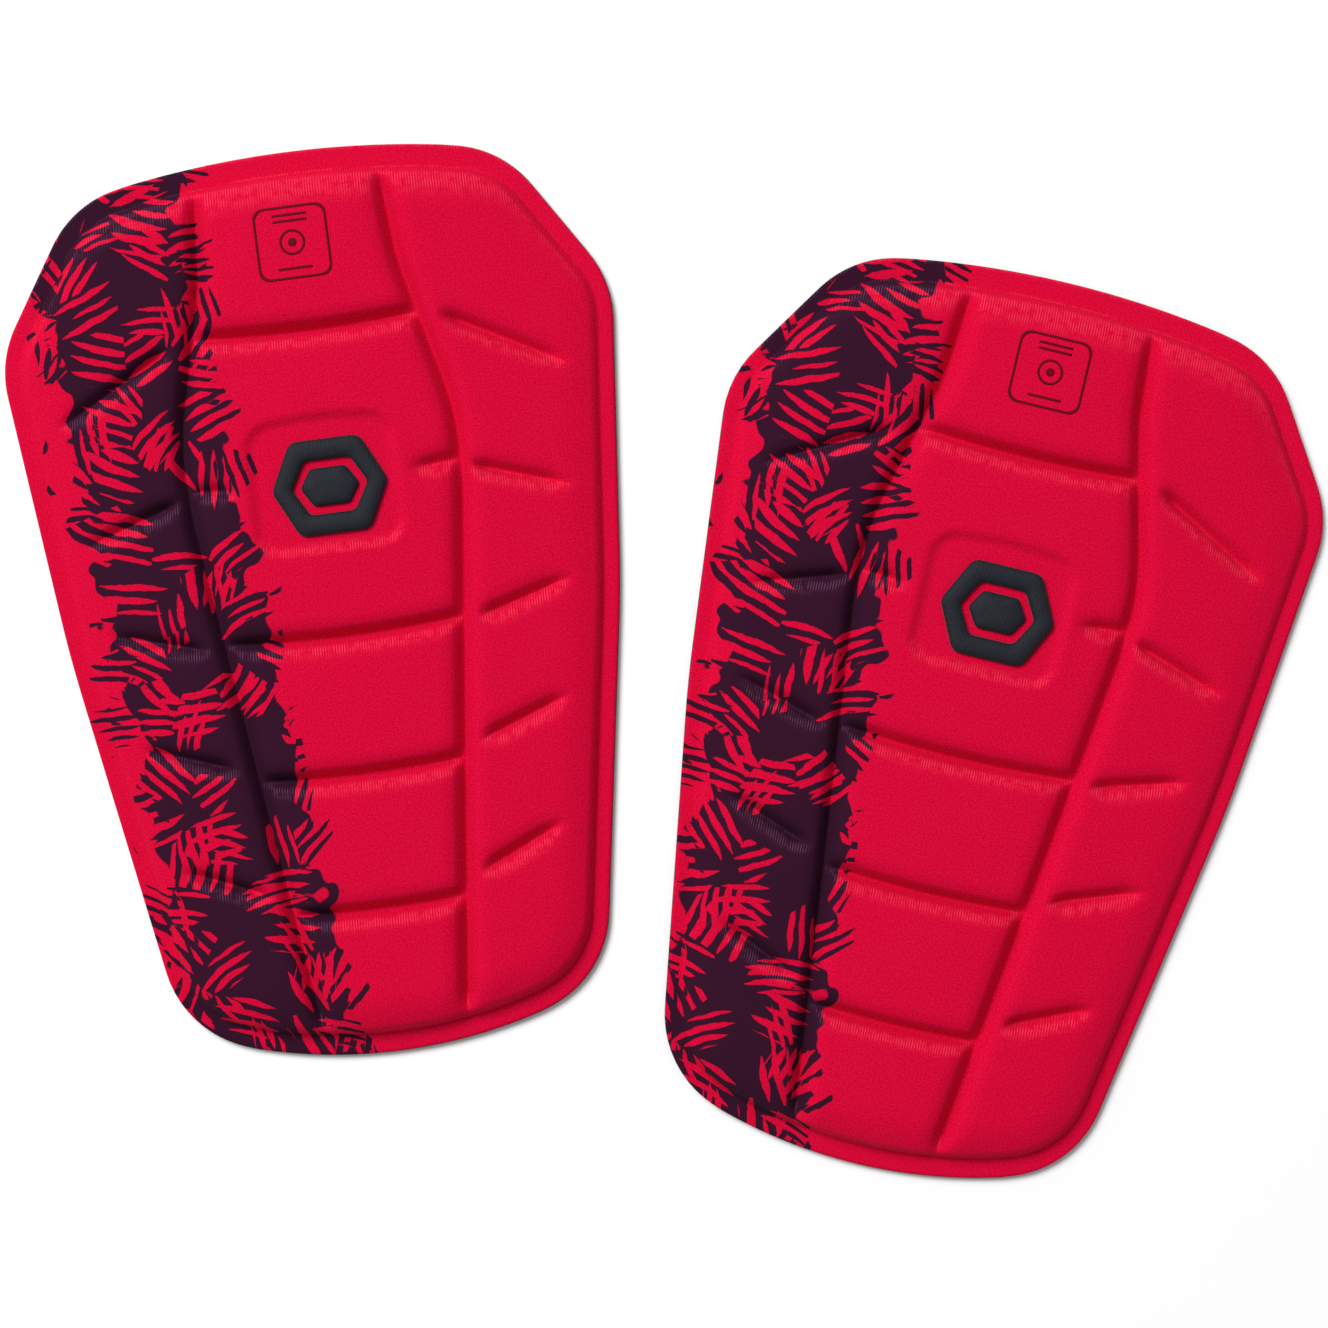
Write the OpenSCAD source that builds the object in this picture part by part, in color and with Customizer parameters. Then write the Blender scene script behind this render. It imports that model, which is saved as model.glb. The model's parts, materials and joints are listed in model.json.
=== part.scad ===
// A pair of soft slip-in shin guards lying face up on a flat surface.
// Each guard is a row of foam cells with a side pad on either hand, sealed between a face fabric and a
// back liner. The side pads fold back round the shin about the two lengthwise grooves.

/* [Guard outline] */
// Length of one guard, crown to crown
guard_len = 210; // [205:1:215]
// Full width at the widest corners, which the corner rounding trims a little
widest_w = 143.4; // [138:0.2:148]
// Full width at the top corners
top_w = 100.4; // [96:0.2:104]
// Full width at the slight bend half way down the sides
middle_w = 128.6; // [125:0.2:132]
// Full width at the bottom corners
bottom_w = 98.8; // [95:0.2:102]
// Rounding radius of all the outline's corners
corner_r = 25; // [18:1:28]
// Radius of the crowned top edge
top_crown_r = 227; // [180:1:300]
// Radius of the crowned bottom edge
bottom_crown_r = 119; // [110:1:150]

/* [Layers] */
// Thickness of the back liner
liner_t = 1; // [0.6:0.1:1.5]
// Thickness of the face fabric
face_t = 0.8; // [0.5:0.1:1]
// Bonding film between the foam and the fabrics
bond_t = 0.1; // [0.05:0.05:0.2]
// Height of the face along the middle of a guard
crown_h = 8.5; // [7:0.1:11]
// Radius of the crowned face, across the guard
crown_r = 560; // [500:10:900]

/* [Rim and grooves] */
// Width of the flat rim along the sides
side_rim = 3.7; // [3:0.1:5]
// Width of the flat rim along the top
top_rim = 5.5; // [4:0.1:7]
// Width of the flat rim along the bottom
bottom_rim = 4.6; // [4:0.1:7]
// Width of the grooves between the foam pieces
groove_w = 4.2; // [3.6:0.1:5]
// How far the ends of a cross groove rise above its middle
groove_sag = 1.2; // [0:0.1:2]
// Width of the cuts that end inside a pad
cut_w = 3.6; // [3:0.1:4]
// Height of the foam left under those cuts
cut_floor = 2.4; // [2:0.1:3]
// Clearance between the panels that fold and the middle panel
fold_gap = 0.3; // [0.2:0.05:0.5]

/* [Badge and label] */
// Width of the badge
badge_w = 27; // [24:0.5:28]
// Height of the badge, along the guard
badge_h = 22; // [18:0.5:23]
// Width of the badge's ring
ring_w = 4.8; // [4:0.1:5.5]
// Space between the badge's ring and its core
ring_gap = 1.8; // [1.2:0.1:2.2]
// How far the badge stands above the fabric
badge_rise = 1.8; // [1:0.1:2.5]
// Side of the square label
label_w = 17; // [15:0.5:18]
// Width of the label's lines
label_line = 0.6; // [0.4:0.1:0.8]
// Thickness of the label's film
label_t = 0.15; // [0.1:0.05:0.3]

/* [Hidden] */
$fn = 96;
CROWN_FN = 720;
GUARDS = ["left_guard", "right_guard"];
PIECES = [
    "back_center", "back_left_wing", "back_right_wing",
    "face_center", "face_left_wing", "face_right_wing",
    "top_cell", "badge_cell", "third_cell", "fourth_cell", "bottom_cell",
    "left_side_pad", "right_side_pad",
    "badge_ring", "badge_core", "label"
];

// Where each guard lies, and how it is turned
LEFT_PLACE = [-74.47, 13.82];
LEFT_TURN = 7.5;
RIGHT_PLACE = [69.23, -14.48];
RIGHT_TURN = -13.5;

half_len = guard_len / 2;
// Half lengths are measured from the guard's middle, up towards the knee
TOP_CORNER = [top_w / 2, half_len - 5.6];
WIDEST_CORNER = [widest_w / 2, half_len - 39.5];
MIDDLE_CORNER = [middle_w / 2, -5];
BOTTOM_CORNER = [bottom_w / 2, 10.6 - half_len];
middle_r = 300;
// Half of the turn the outline makes at its top and bottom corners, and how much of the crowned edge
// between those corners is drawn as an arc
TOP_TURN = 23;
BOTTOM_TURN = 28;
CROWN_REACH = 0.92;

// The right-hand lengthwise groove, from above the top edge to below the bottom edge
GROOVE_END = half_len + 10;
GROOVE_LINE = [[20.2, GROOVE_END], [23, 77], [32, 40], [31.4, 23], [14.6, -GROOVE_END]];
GROOVE_R = 60;
// Heights of the cross grooves that run right across the middle panel
CROSS_GROOVES = [63.3, -7.8, -39.8, -71.1];
// A cross groove rises by groove_sag at this distance from its middle, which lies SAG_DROP of that lower
SAG_AT = 26;
SAG_DROP = 0.3;
SAG_REACH = 34;
// Badge and label centres
BADGE_AT = [1.2, 26.5];
LABEL_AT = [0, 83];
// Cuts in the right side pad: inner end, then outer end
SIDE_CUTS = [
    [[33, 62], [58, 48.5]],
    [[35, 27], [55, 20.5]],
    [[33, -7], [52, -1.5]],
    [[30, -35], [48, -28.5]],
    [[26, -65], [43, -57.5]]
];
// Inner end of the notch to the right of the badge, and how far it runs on into the groove
NOTCH = [21, 28];
NOTCH_LEN = 30;
// The label's square corners, its round sign and its bars, measured from the label's centre
LABEL_R = 2.5;
SIGN_D = 6;
DOT_D = 2;
BAR_LEN = 8;
BAR_YS = [-6, 5, 6.4];

face_gap = face_t + bond_t;
film_gap = 0.05;
tall = 40;
slab = 300;
eps = 0.01;

// ---- Paths ----

function unit(v) = v / norm(v);
function left_of(v) = [-v.y, v.x];

// Arc that rounds the corner b of the path a, b, c
function rounded(a, b, c, r, steps = 6) =
    let (u = unit(a - b), v = unit(c - b),
         half = acos(u * v) / 2,
         mid = b + unit(u + v) * r / sin(half),
         p = b + u * r / tan(half) - mid,
         q = b + v * r / tan(half) - mid,
         from = atan2(p.y, p.x),
         swing = (atan2(q.y, q.x) - from + 540) % 360 - 180)
    [for (i = [0:steps]) mid + r * [cos(from + swing * i / steps), sin(from + swing * i / steps)]];

// Arc across the guard through [0, y_tip], bulging up for up = 1 and down for up = -1
function crown_arc(y_tip, r, reach, up, steps = 8) =
    [for (i = [0:steps]) let (x = reach * i / steps) [x, y_tip + up * (sqrt(r * r - x * x) - r)]];

function reversed(path) = [for (i = [len(path) - 1:-1:0]) path[i]];
function mirrored(path) = [for (p = reversed(path)) [-p.x, p.y]];
function without_ends(path) = [for (i = [1:len(path) - 2]) path[i]];

// Right half of the outline, from the middle of the top edge to the middle of the bottom edge
top_reach = (TOP_CORNER.x - corner_r * tan(TOP_TURN)) * CROWN_REACH;
bottom_reach = (BOTTOM_CORNER.x - corner_r * tan(BOTTOM_TURN)) * CROWN_REACH;
top_edge = crown_arc(half_len, top_crown_r, top_reach, 1);
bottom_edge = reversed(crown_arc(-half_len, bottom_crown_r, bottom_reach, -1));
half_outline = concat(
    top_edge,
    rounded(top_edge[len(top_edge) - 1], TOP_CORNER, WIDEST_CORNER, corner_r),
    rounded(TOP_CORNER, WIDEST_CORNER, MIDDLE_CORNER, corner_r),
    rounded(WIDEST_CORNER, MIDDLE_CORNER, BOTTOM_CORNER, middle_r, 2),
    rounded(MIDDLE_CORNER, BOTTOM_CORNER, bottom_edge[0], corner_r),
    bottom_edge);
OUTLINE = concat(half_outline, without_ends(mirrored(half_outline)));

// Width of the rim where the outline faces the way n
function rim(n) = side_rim + pow(n.y, 2) * ((n.y > 0 ? top_rim : bottom_rim) - side_rim);

// The outline drawn in by the rim, and let out again by grow
function pad_outline(grow) =
    let (count = len(OUTLINE))
    [for (i = [0:count - 1])
        let (p = OUTLINE[i],
             n1 = unit(left_of(p - OUTLINE[(i + count - 1) % count])),
             n2 = unit(left_of(OUTLINE[(i + 1) % count] - p)))
        p - (n1 + n2) / (1 + n1 * n2) * (rim(unit(n1 + n2)) - grow)];

// The right-hand groove's middle line, moved sideways
function groove_line(shift) =
    let (g = GROOVE_LINE,
         path = concat(
             [g[0]],
             rounded(g[0], g[1], g[2], GROOVE_R, 4),
             rounded(g[1], g[2], g[3], GROOVE_R, 4),
             rounded(g[2], g[3], g[4], GROOVE_R, 4),
             [g[4]]))
    [for (p = path) [p.x + shift, p.y]];

// Edge of a cross groove, curving up to both sides
function sag_line(y, steps = 8) =
    [for (i = [0:steps]) let (x = SAG_REACH * (2 * i / steps - 1))
        [x, y + groove_sag * (pow(x / SAG_AT, 2) - SAG_DROP)]];

// Six-sided figure with blunt corners, for the badge
function blunt_hexagon(w, h, r) =
    let (c = [[w / 2, 0], [w * 0.3, h / 2], [-w * 0.3, h / 2],
              [-w / 2, 0], [-w * 0.3, -h / 2], [w * 0.3, -h / 2]])
    [for (i = [0:5]) each rounded(c[(i + 5) % 6], c[i], c[(i + 1) % 6], r, 4)];

function blunt_square(w, r) =
    let (c = [[w, w], [-w, w], [-w, -w], [w, -w]] / 2)
    [for (i = [0:3]) each rounded(c[(i + 3) % 4], c[i], c[(i + 1) % 4], r, 4)];

// Round-ended loop at the distance r round the line from p to q
function long_loop(p, q, r, steps = 6) =
    let (turn = atan2(q.y - p.y, q.x - p.x))
    concat(
        [for (i = [0:steps]) let (a = turn - 90 + 180 * i / steps) q + r * [cos(a), sin(a)]],
        [for (i = [0:steps]) let (a = turn + 90 + 180 * i / steps) p + r * [cos(a), sin(a)]]);

// ---- Shared solids ----

module column(path, low = 0, high = tall) {
    translate([0, 0, low]) linear_extrude(high - low) polygon(path);
}

// Everything between the two lengthwise grooves; grow widens it on both sides
module middle_strip(grow) {
    column(concat(groove_line(grow), mirrored(groove_line(grow))), -1);
}

// Everything to the right of the right-hand groove; grow widens it towards the groove
module right_side(grow) {
    column(concat(groove_line(-grow), [[slab / 2, -GROOVE_END], [slab / 2, GROOVE_END]]), -1);
}

// The space under the crowned face, raised by extra
module under_crown(extra) {
    translate([0, 0, crown_h - crown_r]) rotate([90, 0, 0])
        cylinder(h = slab, r = crown_r + extra, center = true, $fn = CROWN_FN);
}

// The band between two cross grooves
module band(low_y, high_y, grow) {
    column(concat(sag_line(low_y + groove_w / 2 - grow),
                  reversed(sag_line(high_y - groove_w / 2 + grow))), -1);
}

// A round-ended cut from p to q, down to the height floor_z
module cut(p, q, w, floor_z) {
    column(long_loop(p, q, w / 2), floor_z);
}

module both_hands() {
    children();
    mirror([1, 0, 0]) children();
}

// Foam of the cell between two cross grooves; grow lets all its sides out
module cell_body(low_y, high_y, grow) {
    intersection() {
        column(pad_outline(grow), liner_t, crown_h + badge_rise);
        middle_strip(grow - groove_w / 2);
        band(low_y, high_y, grow);
        under_crown(grow - face_gap);
    }
}

module notches(grow) {
    both_hands()
        cut(NOTCH, NOTCH + [NOTCH_LEN, 0], cut_w - 2 * grow, cut_floor + grow);
}

module badge_cell_body(grow) {
    difference() {
        cell_body(CROSS_GROOVES[1], CROSS_GROOVES[0], grow);
        notches(grow);
    }
}

module side_pad_body(grow) {
    difference() {
        intersection() {
            column(pad_outline(grow), liner_t, crown_h + badge_rise);
            right_side(grow - groove_w / 2);
            under_crown(grow - face_gap);
        }
        for (c = SIDE_CUTS) cut(c[0], c[1], cut_w - 2 * grow, cut_floor + grow);
    }
}

module all_cells(grow) {
    cell_body(CROSS_GROOVES[0], half_len + groove_w, grow);
    badge_cell_body(grow);
    cell_body(CROSS_GROOVES[2], CROSS_GROOVES[1], grow);
    cell_body(CROSS_GROOVES[3], CROSS_GROOVES[2], grow);
    cell_body(-half_len - groove_w, CROSS_GROOVES[3], grow);
}

// ---- Fabrics ----

FACE_COLOUR = [0.86, 0.01, 0.18];
LINER_COLOUR = [0.10, 0.07, 0.11];
FOAM_COLOUR = [0.33, 0.33, 0.35];
BADGE_COLOUR = [0.11, 0.11, 0.12];
LABEL_COLOUR = [0.55, 0.02, 0.12];

module back_center() {
    color(LINER_COLOUR) intersection() {
        column(OUTLINE, 0, liner_t);
        middle_strip(-fold_gap / 2);
    }
}

module back_right_wing() {
    color(LINER_COLOUR) intersection() {
        column(OUTLINE, 0, liner_t);
        right_side(-fold_gap / 2);
    }
}

module back_left_wing() {
    mirror([1, 0, 0]) back_right_wing();
}

module face_center() {
    color(FACE_COLOUR) difference() {
        union() {
            intersection() {
                column(OUTLINE, liner_t, liner_t + face_t);
                middle_strip(-fold_gap / 2);
            }
            all_cells(face_gap);
        }
        translate([0, 0, -eps]) all_cells(bond_t);
    }
}

module face_right_wing() {
    color(FACE_COLOUR) difference() {
        union() {
            intersection() {
                column(OUTLINE, liner_t, liner_t + face_t);
                right_side(-fold_gap / 2);
            }
            side_pad_body(face_gap);
        }
        translate([0, 0, -eps]) side_pad_body(bond_t);
    }
}

module face_left_wing() {
    mirror([1, 0, 0]) face_right_wing();
}

// ---- Foam ----

module top_cell() {
    color(FOAM_COLOUR) cell_body(CROSS_GROOVES[0], half_len + groove_w, 0);
}

module badge_cell() {
    color(FOAM_COLOUR) badge_cell_body(0);
}

module third_cell() {
    color(FOAM_COLOUR) cell_body(CROSS_GROOVES[2], CROSS_GROOVES[1], 0);
}

module fourth_cell() {
    color(FOAM_COLOUR) cell_body(CROSS_GROOVES[3], CROSS_GROOVES[2], 0);
}

module bottom_cell() {
    color(FOAM_COLOUR) cell_body(-half_len - groove_w, CROSS_GROOVES[3], 0);
}

module right_side_pad() {
    color(FOAM_COLOUR) side_pad_body(0);
}

module left_side_pad() {
    mirror([1, 0, 0]) right_side_pad();
}

// ---- Badge and label ----

// A plate lying on the crowned face, of the thickness t, cut to its children's outline
module on_face(t) {
    difference() {
        intersection() {
            children();
            under_crown(t);
        }
        under_crown(film_gap);
    }
}

module badge_ring() {
    color(BADGE_COLOUR) on_face(badge_rise) translate(BADGE_AT) difference() {
        column(blunt_hexagon(badge_w, badge_h, 3));
        column(blunt_hexagon(badge_w - 2 * ring_w, badge_h - 2 * ring_w, 2), -1, tall + 1);
    }
}

module badge_core() {
    inset = 2 * (ring_w + ring_gap);
    color(BADGE_COLOUR) on_face(badge_rise) translate(BADGE_AT)
        column(blunt_hexagon(badge_w - inset, badge_h - inset, 1.5));
}

// A square outline with a plain round sign, one bar below it and two above
module label() {
    color(LABEL_COLOUR) on_face(label_t + film_gap) translate(LABEL_AT) {
        difference() {
            column(blunt_square(label_w, LABEL_R));
            column(blunt_square(label_w - 2 * label_line, LABEL_R - label_line), -1, tall + 1);
        }
        difference() {
            cylinder(h = tall, d = SIGN_D);
            translate([0, 0, -1]) cylinder(h = tall + 2, d = SIGN_D - 2 * label_line);
        }
        cylinder(h = tall, d = DOT_D);
        for (y = BAR_YS) translate([-BAR_LEN / 2, y - label_line / 2, 0]) cube([BAR_LEN, label_line, tall]);
    }
}

// ---- Placing ----

module placed(guard) {
    is_left = guard == GUARDS[0];
    translate(is_left ? LEFT_PLACE : RIGHT_PLACE) rotate([0, 0, is_left ? LEFT_TURN : RIGHT_TURN])
        children();
}

for (g = GUARDS) {
    placed(g) back_center();
    placed(g) back_left_wing();
    placed(g) back_right_wing();
    placed(g) face_center();
    placed(g) face_left_wing();
    placed(g) face_right_wing();
    placed(g) top_cell();
    placed(g) badge_cell();
    placed(g) third_cell();
    placed(g) fourth_cell();
    placed(g) bottom_cell();
    placed(g) left_side_pad();
    placed(g) right_side_pad();
    placed(g) badge_ring();
    placed(g) badge_core();
    placed(g) label();
}
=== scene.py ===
import json
import math

import bpy
import numpy as np
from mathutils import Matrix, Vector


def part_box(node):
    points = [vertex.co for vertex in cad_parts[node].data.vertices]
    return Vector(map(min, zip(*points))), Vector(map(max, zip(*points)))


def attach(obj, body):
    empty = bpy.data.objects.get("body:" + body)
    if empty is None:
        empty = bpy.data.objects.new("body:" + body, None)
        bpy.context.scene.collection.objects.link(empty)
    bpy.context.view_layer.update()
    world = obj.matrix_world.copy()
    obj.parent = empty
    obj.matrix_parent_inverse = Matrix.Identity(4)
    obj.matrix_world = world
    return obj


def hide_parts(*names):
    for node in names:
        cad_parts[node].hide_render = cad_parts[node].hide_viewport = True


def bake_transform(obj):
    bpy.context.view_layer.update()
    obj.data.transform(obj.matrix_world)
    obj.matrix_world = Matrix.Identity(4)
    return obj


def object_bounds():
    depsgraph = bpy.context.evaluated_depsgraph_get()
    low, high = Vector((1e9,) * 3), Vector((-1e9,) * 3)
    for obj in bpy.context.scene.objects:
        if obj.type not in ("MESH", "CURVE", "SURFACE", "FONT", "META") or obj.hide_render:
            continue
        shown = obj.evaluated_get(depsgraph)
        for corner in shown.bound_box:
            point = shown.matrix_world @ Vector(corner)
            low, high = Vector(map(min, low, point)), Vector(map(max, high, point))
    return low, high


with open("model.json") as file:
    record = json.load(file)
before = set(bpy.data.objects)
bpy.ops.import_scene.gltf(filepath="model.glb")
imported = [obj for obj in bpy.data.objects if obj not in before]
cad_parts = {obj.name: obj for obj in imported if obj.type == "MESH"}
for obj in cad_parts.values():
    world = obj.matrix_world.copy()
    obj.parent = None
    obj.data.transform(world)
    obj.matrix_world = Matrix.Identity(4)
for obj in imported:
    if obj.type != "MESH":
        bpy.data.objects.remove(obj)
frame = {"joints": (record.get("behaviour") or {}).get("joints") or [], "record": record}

cad_low, cad_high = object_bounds()

# ---- Sizes, in millimetres, in each guard's own frame: +X to the right, +Y to the knee end ----

MM = 0.001
GUARDS = ("left_guard", "right_guard")
HALVES = {"right": 1, "left": -1}
# The printed fabric was cut a little differently for each guard: how far its print is shifted
PRINT_SHIFT = {"left_guard": (0.0, 0.0), "right_guard": (-4.9, -2.1)}
MOUNTS = {m["name"]: m for m in frame["record"]["mounts"]}
JOINTS = {j["name"]: j for j in frame["joints"]}

LINER_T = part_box("left_guard_back_center")[1].z / MM
CROWN_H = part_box("left_guard_face_center")[1].z / MM
FACE_T = 0.7
HALF_LEN = 105.0
CROWN_R = 560.0
# The crowned ends: their radius, and how far they reach from the middle to the corner
TOP_CROWN_R, TOP_REACH = 227.0, 36.3
BOTTOM_CROWN_R, BOTTOM_REACH = 119.0, 33.3
CORNER_R = 25.0
WAIST_R = 300.0
SHOULDER = (50.2, HALF_LEN - 5.6)
WIDEST = (71.7, HALF_LEN - 39.5)
MIDDLE = (64.3, -5.0)
ANKLE = (49.4, 10.6 - HALF_LEN)
SIDE_RIM, TOP_RIM, BOTTOM_RIM = 3.7, 5.5, 4.6
# The rim's edge is rounded over by this much, over this width
RIM_DROP, RIM_ROUND = 0.3, 0.8
# The foam's shoulder is half steep and half soft, each over its own width
STEEP_W, SOFT_W = 2.2, 10.0
GROOVE_CORNERS = [(20.2, 115), (23, 77), (32, 40), (31.4, 23), (14.6, -115)]
GROOVE_CORNER_R = 60.0
# A cross groove rises by GROOVE_SAG at SAG_AT from its middle, which lies SAG_DROP of that lower
GROOVE_SAG, SAG_AT, SAG_DROP = 1.2, 26.0, 0.3
PAST_GROOVE = 40.0
# Cross grooves from top to bottom: height, and the inner and outer end of the cut that follows it
ROWS = [
    (63.3, (33, 62), (58, 48.5)),
    (28.0, (35, 27), (55, 20.5)),
    (-7.8, (33, -7), (52, -1.5)),
    (-39.8, (30, -35), (48, -28.5)),
    (-71.1, (26, -65), (43, -57.5)),
]
# The row beside the badge shows only as a notch: where it starts, how softly, and its share of the depth
NOTCH_ROW = 1
NOTCH_FROM, NOTCH_FADE, NOTCH_SHARE = 19.0, 7.0, 0.75
# Half widths of each kind of groove: its crease, and the roll on either side
LONG_GROOVE = (2.7, 5.6)
CROSS_GROOVE = (2.3, 5.0)
SIDE_CUT = (2.1, 4.6)
GROOVE_FLOOR = 0.3
GROOVE_DEPTH = 0.66
# A lengthwise groove fades out near the foam's foot, over this length and down to this share
LONG_FADE, LONG_LEFT = 7.0, 0.2
# A side cut runs on past its two ends, and fades in and out
CUT_SHARE, CUT_PAST, CUT_FADE_IN, CUT_FADE_OUT = 0.9, 3.0, 6.0, 8.0
CUT_BEND_R = 8.0
BADGE_AT = np.array([1.2, 26.5])
BADGE_SIZE = (27.0, 22.0)
BADGE_RING = 4.8
BADGE_GAP = 1.8
BADGE_RISE = 1.8
BADGE_FOOT = -0.5
RING_CORNER_R, CORE_CORNER_R = 3.0, 1.5
CORE_PINCH = 0.92
# The hollow round the badge: its middle, half sizes, corner radius, arched top edge, depth and edge width
DIP_AT = np.array([0.0, 26.8])
DIP_HALF_W, DIP_HALF_H, DIP_CORNER_R = 16.8, 14.5, 5.0
DIP_ARCH, DIP_ARCH_REACH = 1.5, 17.0
DIP_DEPTH, DIP_EDGE = 1.2, 2.0
LABEL_AT = np.array([0.0, 83.0])
LABEL_W = 17.0
LABEL_LINE = 0.6
LABEL_CORNER_R, BAR_CORNER_R = 2.5, 0.25
SIGN_R, DOT_R = 3.0, 1.0
BAR_HALF_W = 4.0
BAR_YS = (-6, 5, 6.4)
# The print's dark band: how far it lies to the left, its half width, and its lean for each millimetre up
BAND_AT, BAND_HALF, BAND_LEAN = 35.7, 17.3, 0.08
# The face fabric's height on the rim, and the span in millimetres that one unit of a flat UV map covers
BASE = LINER_T + 0.85
UV_SPAN = 250.0


# ---- Paths ----

def unit(v):
    return v / np.linalg.norm(v)


def rounded(a, b, c, r, steps=10):
    """Points of the arc that rounds corner b of the path a, b, c."""
    a, b, c = (np.array(p, float) for p in (a, b, c))
    u, v = unit(a - b), unit(c - b)
    half = math.acos(np.clip(u @ v, -1, 1)) / 2
    middle = b + unit(u + v) * r / math.sin(half)
    p, q = b + u * r / math.tan(half) - middle, b + v * r / math.tan(half) - middle
    start = math.atan2(p[1], p[0])
    swing = (math.atan2(q[1], q[0]) - start + 3 * math.pi) % (2 * math.pi) - math.pi
    turn = start + swing * np.linspace(0, 1, steps + 1)
    return middle + r * np.stack([np.cos(turn), np.sin(turn)], axis=1)


def crown_arc(tip, r, reach, up, steps=16):
    x = np.linspace(0, reach, steps + 1)
    return np.stack([x, tip + up * (np.sqrt(r * r - x * x) - r)], axis=1)


def right_outline():
    """Right half of a guard's outline, from the middle of its top edge to the middle of its bottom edge."""
    top = crown_arc(HALF_LEN, TOP_CROWN_R, TOP_REACH, 1)
    bottom = crown_arc(-HALF_LEN, BOTTOM_CROWN_R, BOTTOM_REACH, -1)[::-1]
    return np.concatenate([
        top,
        rounded(top[-1], SHOULDER, WIDEST, CORNER_R),
        rounded(SHOULDER, WIDEST, MIDDLE, CORNER_R),
        rounded(WIDEST, MIDDLE, ANKLE, WAIST_R, 4),
        rounded(MIDDLE, ANKLE, bottom[0], CORNER_R),
        bottom,
    ])


def groove_line():
    """Middle line of the right-hand lengthwise groove, from above the top edge to below the bottom."""
    g = GROOVE_CORNERS
    bends = [rounded(g[i - 1], g[i], g[i + 1], GROOVE_CORNER_R) for i in (1, 2, 3)]
    return np.concatenate([[g[0]], *bends, [g[-1]]])


def lengths(path):
    return np.concatenate([[0], np.cumsum(np.linalg.norm(np.diff(path, axis=0), axis=1))])


def at(path, share):
    """Points at the given shares of a path's length."""
    along = lengths(path)
    return np.stack([np.interp(np.asarray(share) * along[-1], along, path[:, k]) for k in (0, 1)], axis=-1)


def crossing(path, other):
    """(share along path, share along other) where two paths first cross."""
    la, lb = lengths(path), lengths(other)
    for i in range(len(path) - 1):
        p, d = path[i], path[i + 1] - path[i]
        for k in range(len(other) - 1):
            q, e = other[k], other[k + 1] - other[k]
            det = d[0] * -e[1] + e[0] * d[1]
            if abs(det) < 1e-12:
                continue
            w = q - p
            s = (w[0] * -e[1] + e[0] * w[1]) / det
            t = (d[0] * w[1] - d[1] * w[0]) / det
            if 0 <= s <= 1 and 0 <= t <= 1:
                return (la[i] + s * (la[i + 1] - la[i])) / la[-1], (lb[k] + t * (lb[k + 1] - lb[k])) / lb[-1]
    raise ValueError("the paths don't cross")


def part(path, start, end, steps=60):
    return at(path, np.linspace(start, end, steps))


def nearest(points, path):
    """Each point's distance to a path, the share of the path's length there, and the path's direction."""
    best = np.full(len(points), np.inf)
    share, way = np.zeros(len(points)), np.zeros((len(points), 2))
    along = lengths(path)
    for i in range(len(path) - 1):
        d = path[i + 1] - path[i]
        size = d @ d
        if size < 1e-12:
            continue
        t = np.clip(((points - path[i]) @ d) / size, 0, 1)
        off = np.linalg.norm(points - path[i] - t[:, None] * d, axis=1)
        closer = off < best
        best = np.where(closer, off, best)
        share = np.where(closer, (along[i] + t * math.sqrt(size)) / along[-1], share)
        way = np.where(closer[:, None], unit(d), way)
    return best, share, way


# The first and the last points of the outline, which are its crowned ends
CROWN_POINTS = 20
OUTLINE = right_outline()
GROOVE = groove_line()
_, OUTLINE_TOP = crossing(GROOVE, OUTLINE[:CROWN_POINTS])
_, OUTLINE_BOTTOM = crossing(GROOVE, OUTLINE[-CROWN_POINTS:])


def sag(x):
    return GROOVE_SAG * ((x / SAG_AT) ** 2 - SAG_DROP)


def cross_line(y, steps=24):
    """Right half of a cross groove's middle line, from the guard's middle to the lengthwise groove."""
    x = np.linspace(0, PAST_GROOVE, steps)
    line = np.stack([x, y + sag(x)], axis=1)
    share, _ = crossing(line, GROOVE)
    return part(line, 0, share, steps)


def side_line(y, inner, outer):
    """The line that carries on from a cross groove along the side pad's cut to the outline."""
    start = cross_line(y)[-1]
    inner, outer = np.array(inner, float), np.array(outer, float)
    far = inner + (outer - inner) * 3
    whole = np.concatenate([[start], rounded(start, inner, far, CUT_BEND_R, 6), [far]])
    share, _ = crossing(whole, OUTLINE)
    return part(whole, 0, share)


# ---- The face's height ----

def rise(t, power):
    return 1 - (1 - np.clip(t, 0, 1)) ** power


def smooth(t):
    t = np.clip(t, 0, 1)
    return t * t * (3 - 2 * t)


def from_edge(points):
    """How far points with x >= 0 lie inside the outline and inside the foam's foot, and the way outwards."""
    off, _, way = nearest(points, OUTLINE)
    out = np.stack([-way[:, 1], way[:, 0]], axis=1)
    end_rim = np.where(out[:, 1] > 0, TOP_RIM, BOTTOM_RIM)
    rim = SIDE_RIM + out[:, 1] ** 2 * (end_rim - SIDE_RIM)
    return off, off - rim, out


def groove_share(off, crease, roll):
    """How far the pad has risen at a distance from a groove's middle: a crease, then a soft roll."""
    soft = np.sqrt(off * off + GROOVE_FLOOR * GROOVE_FLOOR) - GROOVE_FLOOR
    return 0.5 * rise(soft / crease, 1.7) + 0.5 * rise(soft / roll, 2.0)


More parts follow.
